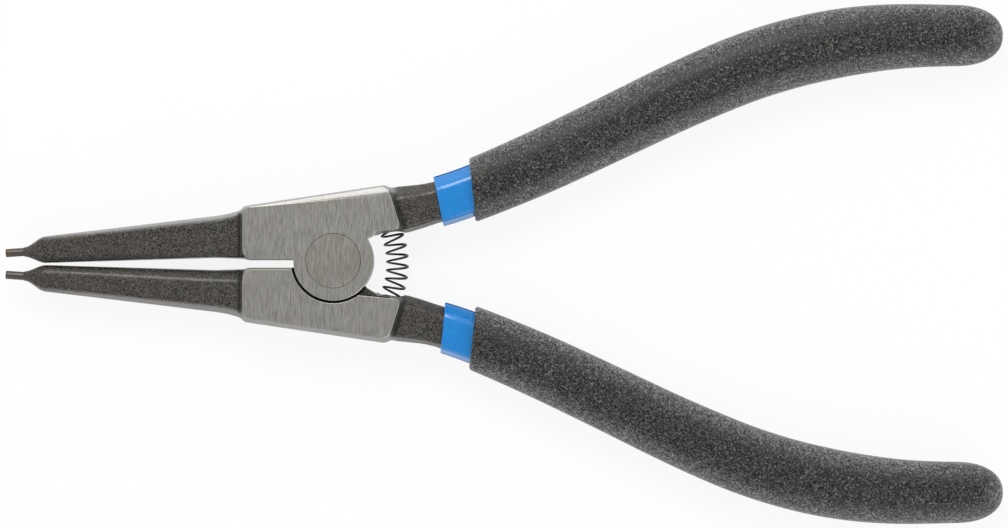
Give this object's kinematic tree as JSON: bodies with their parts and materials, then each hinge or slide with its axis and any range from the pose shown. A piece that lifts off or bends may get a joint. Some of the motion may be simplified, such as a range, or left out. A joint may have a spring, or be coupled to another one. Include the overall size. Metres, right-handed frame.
{
  "type": "circlip pliers",
  "caption": "Straight external circlip pliers with turned tips, a lap joint, a return spring between the handles and dipped two-layer grips.",
  "frame": {"origin": "on the pivot axis, in the lower ground face of the joint", "axes": "+X along the tool towards the handles, +Y across it towards the half whose lug is on top, +Z along the pivot axis, out of the upper joint face"},
  "size_m": [0.1804, 0.094, 0.0104],
  "materials": {
    "forged_steel": "blackened forging with ground joint faces",
    "rivet_steel": "ground flush",
    "spring_steel": "black oxide, satin",
    "blue_plastic": "glossy dip coat",
    "black_plastic": "textured, non-slip"
  },
  "bodies": {
    "lower_arm": {"lower_half": "forged_steel", "pivot_rivet": "rivet_steel", "return_spring": "spring_steel", "lower_inner_sleeve": "blue_plastic", "lower_grip": "black_plastic"},
    "upper_arm": {"upper_half": "forged_steel", "upper_inner_sleeve": "blue_plastic", "upper_grip": "black_plastic"}
  },
  "joints": [
    {"name": "squeeze", "type": "hinge", "parent": "lower_arm", "child": "upper_arm", "pos_m": [0, 0, 0.004], "axis": [0, 0, -1], "range_deg": [0, 28], "stiffness_Nm_per_rad": 0.12, "springref_deg": -20.05, "deforming": ["return_spring"]}
  ]
}
